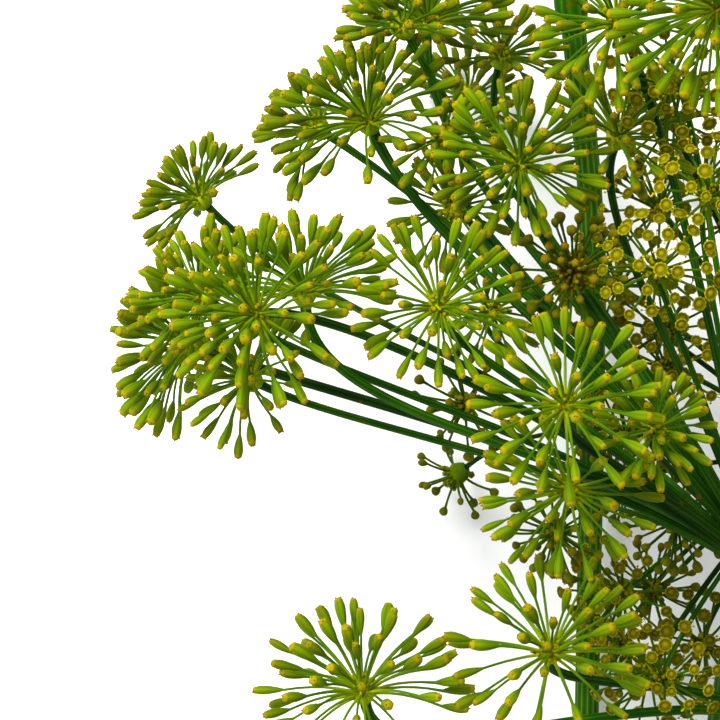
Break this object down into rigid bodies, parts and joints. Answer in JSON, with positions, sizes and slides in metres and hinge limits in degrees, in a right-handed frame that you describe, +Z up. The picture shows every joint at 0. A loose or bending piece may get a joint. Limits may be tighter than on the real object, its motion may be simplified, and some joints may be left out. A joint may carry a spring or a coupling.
{
  "type": "bunch of dill",
  "caption": "Loose bunch of cut flowering dill lying down: green stems with whorls of slender rays, each ray tipped by a small spray of stalked young fruits, flowers or buds.",
  "frame": {"origin": "middle of the bunch's outline on the surface that it lies on", "axes": "+Y along the stems from the cut ends to the flower heads, +X across the bunch, +Z up from the surface"},
  "size_m": [0.1244, 0.2462, 0.0681],
  "materials": {
    "stem": "satin",
    "ray": "satin",
    "fruiting": "satin",
    "flowering": "satin",
    "budding": "satin"
  },
  "bodies": {
    "root": {"ray_whorl_a": "ray", "ray_whorl_b": "ray", "ray_whorl_c": "ray", "ray_whorl_d": "ray", "ray_whorl_e": "ray", "stem_a": "stem", "stem_b": "stem", "stem_c": "stem", "stem_d": "stem", "stem_e": "stem", "umbellet_a01_fruiting": "fruiting", "umbellet_a02_fruiting": "fruiting", "umbellet_a03_fruiting": "fruiting", "umbellet_a04_fruiting": "fruiting", "umbellet_a05_fruiting": "fruiting", "umbellet_a06_fruiting": "fruiting", "umbellet_a07_fruiting": "fruiting", "umbellet_a08_fruiting": "fruiting", "umbellet_a09_fruiting": "fruiting", "umbellet_a10_fruiting": "fruiting", "umbellet_a11_fruiting": "fruiting", "umbellet_a12_budding": "budding", "umbellet_a13_fruiting": "fruiting", "umbellet_a14_fruiting": "fruiting", "umbellet_a15_fruiting": "fruiting", "umbellet_a16_fruiting": "fruiting", "umbellet_a17_budding": "budding", "umbellet_a18_fruiting": "fruiting", "umbellet_a19_fruiting": "fruiting", "umbellet_a20_fruiting": "fruiting", "umbellet_b01_flowering": "flowering", "umbellet_b02_flowering": "flowering", "umbellet_b03_flowering": "flowering", "umbellet_b04_flowering": "flowering", "umbellet_b05_flowering": "flowering", "umbellet_b06_flowering": "flowering", "umbellet_b07_flowering": "flowering", "umbellet_b08_budding": "budding", "umbellet_b09_flowering": "flowering", "umbellet_b10_flowering": "flowering", "umbellet_b11_flowering": "flowering", "umbellet_b12_flowering": "flowering", "umbellet_b13_budding": "budding", "umbellet_c01_fruiting": "fruiting", "umbellet_c02_fruiting": "fruiting", "umbellet_c03_fruiting": "fruiting", "umbellet_c04_fruiting": "fruiting", "umbellet_c05_fruiting": "fruiting", "umbellet_d01_fruiting": "fruiting", "umbellet_d02_fruiting": "fruiting", "umbellet_d03_fruiting": "fruiting", "umbellet_d04_fruiting": "fruiting", "umbellet_d05_fruiting": "fruiting", "umbellet_d06_fruiting": "fruiting", "umbellet_d07_fruiting": "fruiting", "umbellet_e01_fruiting": "fruiting", "umbellet_e02_fruiting": "fruiting", "umbellet_e03_fruiting": "fruiting", "umbellet_e04_budding": "budding", "umbellet_e05_budding": "budding"}
  },
  "joints": []
}
